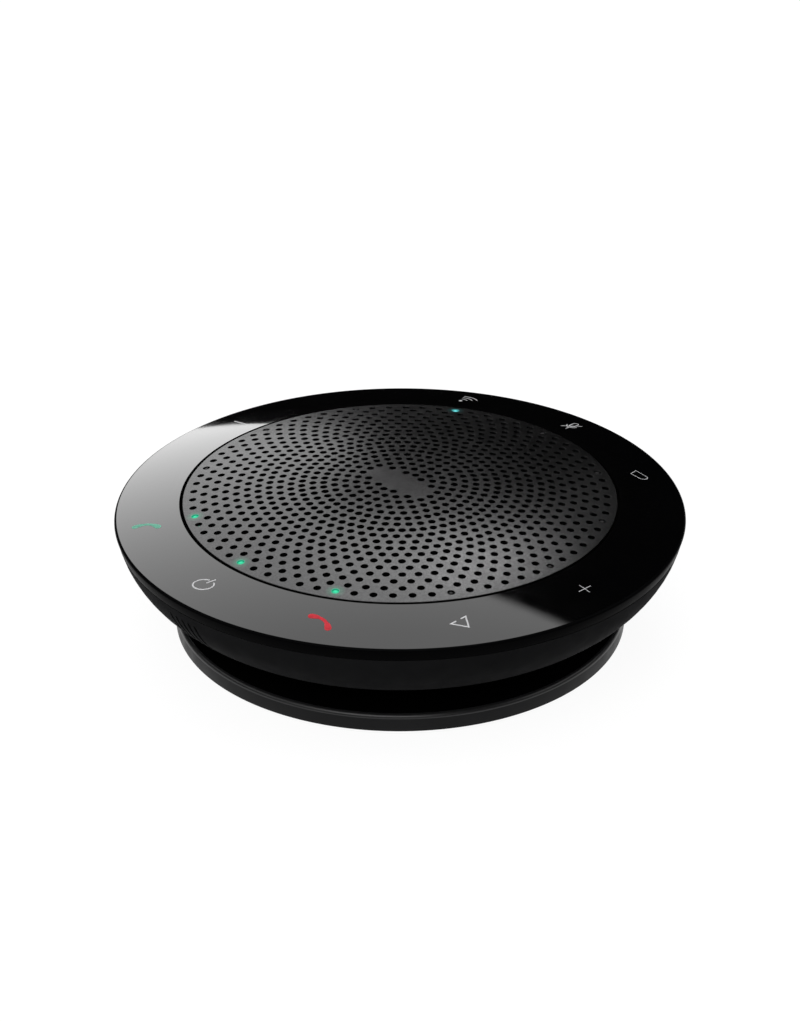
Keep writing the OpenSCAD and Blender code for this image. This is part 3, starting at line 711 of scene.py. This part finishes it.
def ringSection():
    bore = roundOnDome(ring["bore"], ring["boreEdge"], -1, ring["boreSteps"])
    outer = roundOnDome(ring["outer"], ring["edge"], 1, ring["edgeSteps"])
    inner = bore[0][0]
    reach = outer[0][0] - inner
    steps = ring["topSteps"]
    top = [(inner + reach * i / steps, domeHeight(inner + reach * i / steps)) for i in range(1, steps)]
    under = []
    lipR = ring["bore"] + ring["lip"]
    steps = ring["underSteps"]
    for i in range(steps + 1):
        r = ring["tongueIn"] + (lipR - ring["tongueIn"]) * i / steps
        under.append((r, domeHeight(r, ring["thick"])))
    low = ring["ledgeTop"] - ring["ledgeThick"]
    section = [(ring["ledge"], ring["ledgeTop"]), (ring["bore"], ring["ledgeTop"])]
    section += bore[::-1] + top + outer
    section += [(ring["outer"] - ring["taper"], ring["parting"]), (ring["tongueOut"], ring["parting"]),
                (ring["tongueOut"], ring["tongueLow"]), (ring["tongueIn"], ring["tongueLow"])]
    section += under + [(lipR, low), (ring["ledge"], low)]
    return section


def makeRing():
    section = ringSection()
    points, faces = lathe(section, ring["turns"])
    # the polish lies between the two edge rounds; the bore is dull, the side and the underside are matt
    dull = 2 + ring["boreSteps"]
    polish = dull + ring["topSteps"]
    parts = [2 if k < dull else 0 if k < polish else 1 for k in range(len(section))] * ring["turns"]
    x, half = ring["hookAt"], ring["hookWide"] / 2
    hookX = x + ring["hookThick"]
    noseX = hookX + ring["hookNose"]
    low = (x, -half, ring["hookLow"])
    for i in range(ring["hooks"]):
        turn = ring["hookTurn"] + 360 / ring["hooks"] * i
        boxShell(points, faces, low, (hookX, half, domeHeight(x) - ring["thick"] / 2), turn)
        boxShell(points, faces, low, (noseX, half, ring["hookNoseTop"]), turn)
    parts += [1] * (len(faces) - len(parts))
    piece = addPiece("glossRing", points, faces, ["ringGloss", "ringSide", "slitBlack"], faceFinish=parts)
    trueNormals(piece.data)
    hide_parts("touch_ring")


makeRing()
print("gloss ring turned")


# perforated dome

grille = {
    "rim": 45.85, "rimEdge": 0.1, "thick": 0.8, "ledge": 44.6, "ledgeTop": 27.8,
    "pitch": 2.3, "rows": 19, "hole": 0.775, "soft": 0.03, "corners": 20,
    "rimTurns": 240, "rimSteps": 8, "rimShadeStep": 6,   # painted shade in the gap begins before the foot of the rim's round
    "bareX": 8.0, "bareY": 2.9,
}


def holePlaces():
    # six holes more in each inner row, then rows of 48, 60 and 72
    places = []
    for k in range(1, grille["rows"] + 1):
        count = 6 * k if k < 7 else 48 if k < 9 else 60 if k < 12 else 72
        staggered = k % 2 == 1 if k < 6 else k > 9 and k % 2 == 0
        for i in range(count):
            a = (i + (0.5 if staggered else 0)) * 360 / count
            x, y = polar(k * grille["pitch"], a)
            if abs(x) >= grille["bareX"] or abs(y) >= grille["bareY"]:
                places.append((k * grille["pitch"], a))
    return places


def holeLoop(r, a, radius, depth):
    # circle square to the dome's surface, sunk by a depth
    lean = math.asin(r / dome["radius"])
    c, s = polar(1, a)
    loop = []
    for i in range(grille["corners"]):
        u, v = polar(radius, 360 * i / grille["corners"])
        h = math.sqrt((dome["radius"] - depth) ** 2 - radius ** 2)
        out = u * math.cos(lean) + h * math.sin(lean)
        loop.append((out * c - v * s, out * s + v * c, domeCentre + h * math.cos(lean) - u * math.sin(lean)))
    return loop


def skin(points, loops, rimStart, rimCount):
    # triangles between the hole edges and the rim circle
    owner = {}
    order = []
    edges = []
    for number, loop in enumerate(loops + [list(range(rimStart, rimStart + rimCount))]):
        first = len(order)
        for i, index in enumerate(loop):
            owner[len(order)] = number
            order.append(index)
            edges.append((first + i, first + (i + 1) % len(loop)))
    flat = [Vector(points[i][:2]) for i in order]
    found = delaunay_2d_cdt(flat, edges, [], 0, 1e-7)
    faces = []
    rimNumber = len(loops)
    for tri in found[2]:
        kept = [found[3][i][0] for i in tri]
        owners = {owner[i] for i in kept}
        if len(owners) > 1 or owners == {rimNumber}:
            faces.append(tuple(order[i] for i in kept))
    return faces


def makeGrille():
    n = grille["corners"]
    points = []
    faces = []
    tops = []
    bottoms = []
    dark = []
    hole, soft = grille["hole"], grille["soft"]
    bend = soft * 0.3   # middle of the soft edge
    layers = ((hole + soft, 0.0), (hole + bend, bend), (hole, soft), (hole, grille["thick"]))
    for r, a in holePlaces():
        start = len(points)
        lit = abs(r - lamps["row"]) < 0.1 and round(a) in lamps["green"] + lamps["blue"]
        for radius, depth in layers:
            points += holeLoop(r, a, radius, depth)
        for j in range(3):
            low, high = start + j * n, start + (j + 1) * n
            faces += [(low + i, low + (i + 1) % n, high + (i + 1) % n, high + i) for i in range(n)]
            dark += [1 if j == 2 and not lit else 0] * n   # bores are black as painted shade, except round a lit pin, which keeps the grey with its painted glow
        tops.append(list(range(start, start + n)))
        bottoms.append(list(range(start + 3 * n, start + 4 * n)))
    edge = roundOnDome(grille["rim"], grille["rimEdge"], 1, grille["rimSteps"])
    section = edge + [(grille["rim"], grille["ledgeTop"]), (grille["ledge"], grille["ledgeTop"]),
                      (grille["ledge"], domeHeight(grille["ledge"], grille["thick"]))]
    turns = grille["rimTurns"]
    rings = []
    for r, z in section:
        rings.append(len(points))
        for i in range(turns):
            x, y = polar(r, 360 * i / turns)
            points.append((x, y, z))
    for number, (first, second) in enumerate(zip(rings, rings[1:])):
        for i in range(turns):
            k = (i + 1) % turns
            faces.append((first + i, first + k, second + k, second + i))
            dark.append(1 if number >= grille["rimShadeStep"] else 0)
    faces += skin(points, tops, rings[0], turns)
    dark += [0] * (len(faces) - len(dark))
    # the underside takes the black too, as painted shade under the dome
    faces += skin(points, bottoms, rings[-1], turns)
    dark += [1] * (len(faces) - len(dark))
    piece = addPiece("speakerDome", points, faces, ["grilleGrey", "slitBlack"], 14.0, dark)
    trueNormals(piece.data)
    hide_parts("speaker_grille")
    print("dome drilled:", len(tops), "holes,", len(faces), "faces")


makeGrille()


# foot flange with its screw bosses

foot = {
    "radius": 48.4, "low": 0.7, "high": 4.5, "topEdge": 0.9, "topSteps": 10, "lowEdge": 0.25, "lowSteps": 6,
    "padIn": 38.5, "padOut": 45.5, "padSeat": 2.6, "pocket": 35.8, "floorTop": 2.3, "turns": 360,
    "bossAt": 33.5, "bossTurns": (45, 135, 225, 315), "boss": 4.2, "bossLow": 1.1, "bossHigh": 4.4,
    "shank": 1.3, "sink": 2.65, "drillLow": -1, "drillHigh": 10, "postSides": 48,
    "slack": 0.01,   # for telling faces apart by height and radius
}


def toolPiece(points, faces):
    mesh = bpy.data.meshes.new("tool")
    mesh.from_pydata([(x * mm, y * mm, z * mm) for x, y, z in points], [], faces)
    work = bmesh.new()
    work.from_mesh(mesh)
    bmesh.ops.remove_doubles(work, verts=work.verts, dist=1e-7)
    bmesh.ops.recalc_face_normals(work, faces=work.faces)
    work.to_mesh(mesh)
    work.free()
    tool = bpy.data.objects.new("tool", mesh)
    scene.collection.objects.link(tool)
    return tool


def posts(radius, low, high):
    # four upright cylinders at the screw places
    points, faces = [], []
    sides = foot["postSides"]
    for a in foot["bossTurns"]:
        circle = arc(*polar(foot["bossAt"], a), radius, 0, 360, sides)[:-1]
        lower = len(points)
        upper = lower + sides
        for z in (low, high):
            points += [(x, y, z) for x, y in circle]
        faces.append(tuple(range(lower, upper)))
        faces.append(tuple(range(upper, upper + sides)))
        for i in range(sides):
            k = (i + 1) % sides
            faces.append((lower + i, lower + k, upper + k, upper + i))
    return toolPiece(points, faces)


def makeFoot():
    r, low, high = foot["radius"], foot["low"], foot["high"]
    e, f = foot["topEdge"], foot["lowEdge"]
    section = [(0, foot["floorTop"]), (0, low), (foot["padIn"], low), (foot["padIn"], foot["padSeat"]),
               (foot["padOut"], foot["padSeat"]), (foot["padOut"], low)]
    section += arc(r - f, low + f, f, -90, 0, foot["lowSteps"])
    section += arc(r - e, high - e, e, 0, 90, foot["topSteps"])
    section += [(foot["pocket"], high), (foot["pocket"], foot["floorTop"])]
    points, faces = lathe(section, foot["turns"])
    body = toolPiece(points, faces)
    tools = [("UNION", posts(foot["boss"], foot["bossLow"], foot["bossHigh"])),
             ("DIFFERENCE", posts(foot["sink"], foot["drillLow"], foot["padSeat"])),
             ("DIFFERENCE", posts(foot["shank"], foot["drillLow"], foot["drillHigh"]))]
    for way, tool in tools:
        step = body.modifiers.new(way, "BOOLEAN")
        step.operation = way
        step.solver = "EXACT"
        step.object = tool
    done = body.evaluated_get(bpy.context.evaluated_depsgraph_get()).to_mesh()
    points = [tuple(c / mm for c in v.co) for v in done.vertices]
    faces = [tuple(face.vertices) for face in done.polygons]
    for waste in [body] + [tool for way, tool in tools]:
        bpy.data.objects.remove(waste)
    # the edge round shines; the flat top under the bowl takes the drum's near-black as painted shade
    slack = foot["slack"]
    parts = []
    for face in faces:
        lowest = min(points[i][2] for i in face)
        nearest = min(math.hypot(*points[i][:2]) for i in face)
        onEdge = lowest > high - e - slack and nearest > r - e - slack
        parts.append(1 if onEdge else 2 if lowest > high - slack else 0)
    piece = addPiece("footFlange", points, faces, ["baseBlack", "baseSheen", "drumBlack"], faceFinish=parts)
    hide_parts("base_plate")
    print("foot turned:", len(faces), "faces")


makeFoot()


# soft rings of the loudspeaker, still at the basket and moving with the cone at their inner edge

spider = {
    "inner": 10.2, "outer": 22.6, "flat": 0.8, "rim": 2.5, "thick": 0.3, "level": 18.0,
    "waves": 4, "waveHigh": 0.55, "waveSteps": 12, "turns": 120,
}
surround = {
    "coneRim": 24.5, "glued": 1.2, "outer": 30.5, "roll": 2.0, "thick": 0.4, "level": 23.6,
    "steps": 24, "turns": 120,
}


def softRing(name, low, high, turns, finishName):
    points, faces = lathe(low + high[::-1], turns)
    piece = addPiece(name, points, faces, [finishName], body=None)
    # laid along one radius, the transform baked, then each point put back
    corners = piece.data.vertices
    places = [corner.co.copy() for corner in corners]
    for corner, place in zip(corners, places):
        corner.co = (place.xy.length, 0, place.z)
    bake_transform(piece)
    for corner, place in zip(corners, places):
        corner.co = place
    return piece


def makeSpider():
    first = spider["inner"] + spider["flat"]
    last = spider["outer"] - spider["rim"]
    steps = spider["waves"] * spider["waveSteps"]
    line = [(spider["inner"], spider["level"])]
    for i in range(steps + 1):
        wave = math.sin(2 * math.pi * i / spider["waveSteps"])
        line.append((first + (last - first) * i / steps, spider["level"] + spider["waveHigh"] * wave))
    line.append((spider["outer"], spider["level"]))
    half = spider["thick"] / 2
    low = [(r, z - half) for r, z in line]
    high = [(r, z + half) for r, z in line]
    piece = softRing("corrugatedSpider", low, high, spider["turns"], "spiderCloth")
    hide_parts("spider")


def makeSurround():
    level, thick, steps = surround["level"], surround["thick"], surround["steps"]
    roll = surround["roll"]
    middle = surround["coneRim"] + roll
    spread = 90 - math.degrees(math.asin(thick / roll))
    inner = surround["coneRim"] - surround["glued"]
    low = [(inner, level)]
    high = [(inner, level + thick)]
    for i in range(steps + 1):
        t = 1 - 2 * i / steps
        x, z = polar(roll - thick, 90 + 90 * t)
        low.append((middle + x, level + z))
        x, z = polar(roll, 90 + spread * t)
        high.append((middle + x, level + z))
    low.append((surround["outer"], level))
    high.append((surround["outer"], level + thick))
    piece = softRing("rollSurround", low, high, surround["turns"], "surroundRubber")
    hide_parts("cone_surround")


makeSpider()
makeSurround()
print("soft rings of the loudspeaker made")


# printed signs on the gloss ring

sign = {
    "at": 53.2, "proud": 0.02, "sunk": 0.06, "thin": 0.12, "fine": 0.2, "bold": 0.32,
    "roundSteps": 6, "miter": 0.35,
}


def stroke(points, width, closed=False):
    # flat ribbon along a line, with round ends; width is one number or one for each point
    widths = width if isinstance(width, (list, tuple)) else [width] * len(points)
    count = len(points)
    left, right = [], []
    for i, (x, y) in enumerate(points):
        before = points[i - 1] if i or closed else points[i]
        after = points[(i + 1) % count] if i < count - 1 or closed else points[i]
        d1 = Vector((x - before[0], y - before[1]))
        d2 = Vector((after[0] - x, after[1] - y))
        d1 = d1.normalized() if d1.length else d2.normalized()
        d2 = d2.normalized() if d2.length else d1
        way = (d1 + d2).normalized()
        half = widths[i] / 2 / max(sign["miter"], way.dot(d2))
        left.append((x - way.y * half, y + way.x * half))
        right.append((x + way.y * half, y - way.x * half))
    if closed:
        return [("loop", left, right)]
    caps = []
    for end, inner in ((0, 1), (-1, -2)):
        x, y = points[end]
        back = math.degrees(math.atan2(y - points[inner][1], x - points[inner][0]))
        caps.append(arc(x, y, widths[end] / 2, back + 90, back - 90, sign["roundSteps"]))
    return [("strip", left, right), ("fan", caps[0]), ("fan", caps[1])]


def flatFaces(parts):
    points, faces = [], []
    for part in parts:
        start = len(points)
        if part[0] == "fan":
            points += part[1]
            faces.append(tuple(range(start, start + len(part[1]))))
            continue
        _, left, right = part
        count = len(left)
        points += left + right
        for i in range(count if part[0] == "loop" else count - 1):
            k = (i + 1) % count
            faces.append((start + i, start + k, start + count + k, start + count + i))
    return points, faces


def onRing(x, y, lift):
    r = math.hypot(x, y)
    scale = (dome["radius"] + lift) / dome["radius"]
    return x * scale, y * scale, domeCentre + (domeHeight(r) - domeCentre) * scale


def makeSign(name, degrees, parts, finishName):
    flat, faces = flatFaces(parts)
    cx, cy = polar(sign["at"], degrees)
    count = len(flat)
    points = [onRing(cx + x, cy + y, sign["proud"]) for x, y in flat]
    points += [onRing(cx + x, cy + y, -sign["sunk"]) for x, y in flat]
    edges = dict.fromkeys((a, b) for face in faces for a, b in zip(face, face[1:] + face[:1]))
    walls = [(a, b, b + count, a + count) for a, b in edges if (b, a) not in edges]
    under = [tuple(i + count for i in reversed(face)) for face in faces]
    addPiece(name, points, faces + walls + under, [finishName])


def handset(tilt, dx, dy):
    # arched grip with a thick earpiece and mouthpiece
    line = []
    widths = []
    steps = 28
    for i in range(steps + 1):
        t = 2 * i / steps - 1
        line.append((2.55 * t, 0.5 - 0.95 * t * t))
        widths.append(0.75 + 0.65 * max(0.0, (abs(t) - 0.45) / 0.55) ** 0.5)
    return stroke(turned(line, tilt, dx, dy), widths)


def makeSigns():
    thin, fine, bold = sign["thin"], sign["fine"], sign["bold"]
    plus = stroke([(-1.45, -0.02), (1.25, 0.02)], thin) + stroke([(-0.1, -1.65), (-0.1, 1.7)], thin)
    makeSign("signPlus", 0, plus, "signGrey")
    makeSign("signMinus", 180, stroke([(-1.5, 0), (2.1, 0)], bold), "signGrey")
    # slanted round, open where the bar comes out
    circle = [(1.69 * x - 1.26 * y, 1.36 * x + 1.12 * y - 0.14) for x, y in arc(0, 0, 1, 60, 373, 36)]
    makeSign("signPower", 270, stroke(circle, bold) + stroke([(0.15, 0.63), (0.75, 2.35)], bold), "signGrey")
    cell = [(-0.85, -1.85)] + turned(arc(0, 0, 1.1, -80, 70, 12), -8, 1.5, -0.75) + [(-1.45, 0.5)]
    makeSign("signBattery", 60, stroke(cell, thin, True), "signGrey")
    # microphone with a line through it
    lean = 12
    capsule = turned(arc(0, 1.7, 0.6, 0, 180, 10) + arc(0, 0.1, 0.6, 180, 360, 10), lean)
    mute = stroke(capsule, fine, True) + stroke(turned(arc(0, 0, 1.2, 180, 360, 16), lean), fine)
    mute += stroke(turned([(0, -1.2), (0, -2.6)], lean), fine) + stroke([(-1.3, -2.2), (1.3, 1.9)], fine)
    makeSign("signMute", 90, mute, "signGrey")
    wave = stroke(arc(0, -1.9, 0.2, 0, 360, 10)[:-1], 0.4, True)
    for r in (1.5, 2.7, 3.9):
        wave += stroke(arc(0, -1.9, r, 58, 122, 14), fine)
    makeSign("signWave", 120, wave, "signGrey")
    wedge = [(-1.1, 0.5), (-1.05, 1.65), (1.65, -0.15), (-1.26, -2.1), (-1.18, -0.9)]
    makeSign("signVolume", 330, stroke(wedge, bold), "signGrey")
    makeSign("signAnswer", 240, handset(32, -1.0, 0.1), "signGreen")
    makeSign("signEnd", 300, handset(-3, 0.3, 0.1), "signRed")


makeSigns()
print("signs printed")
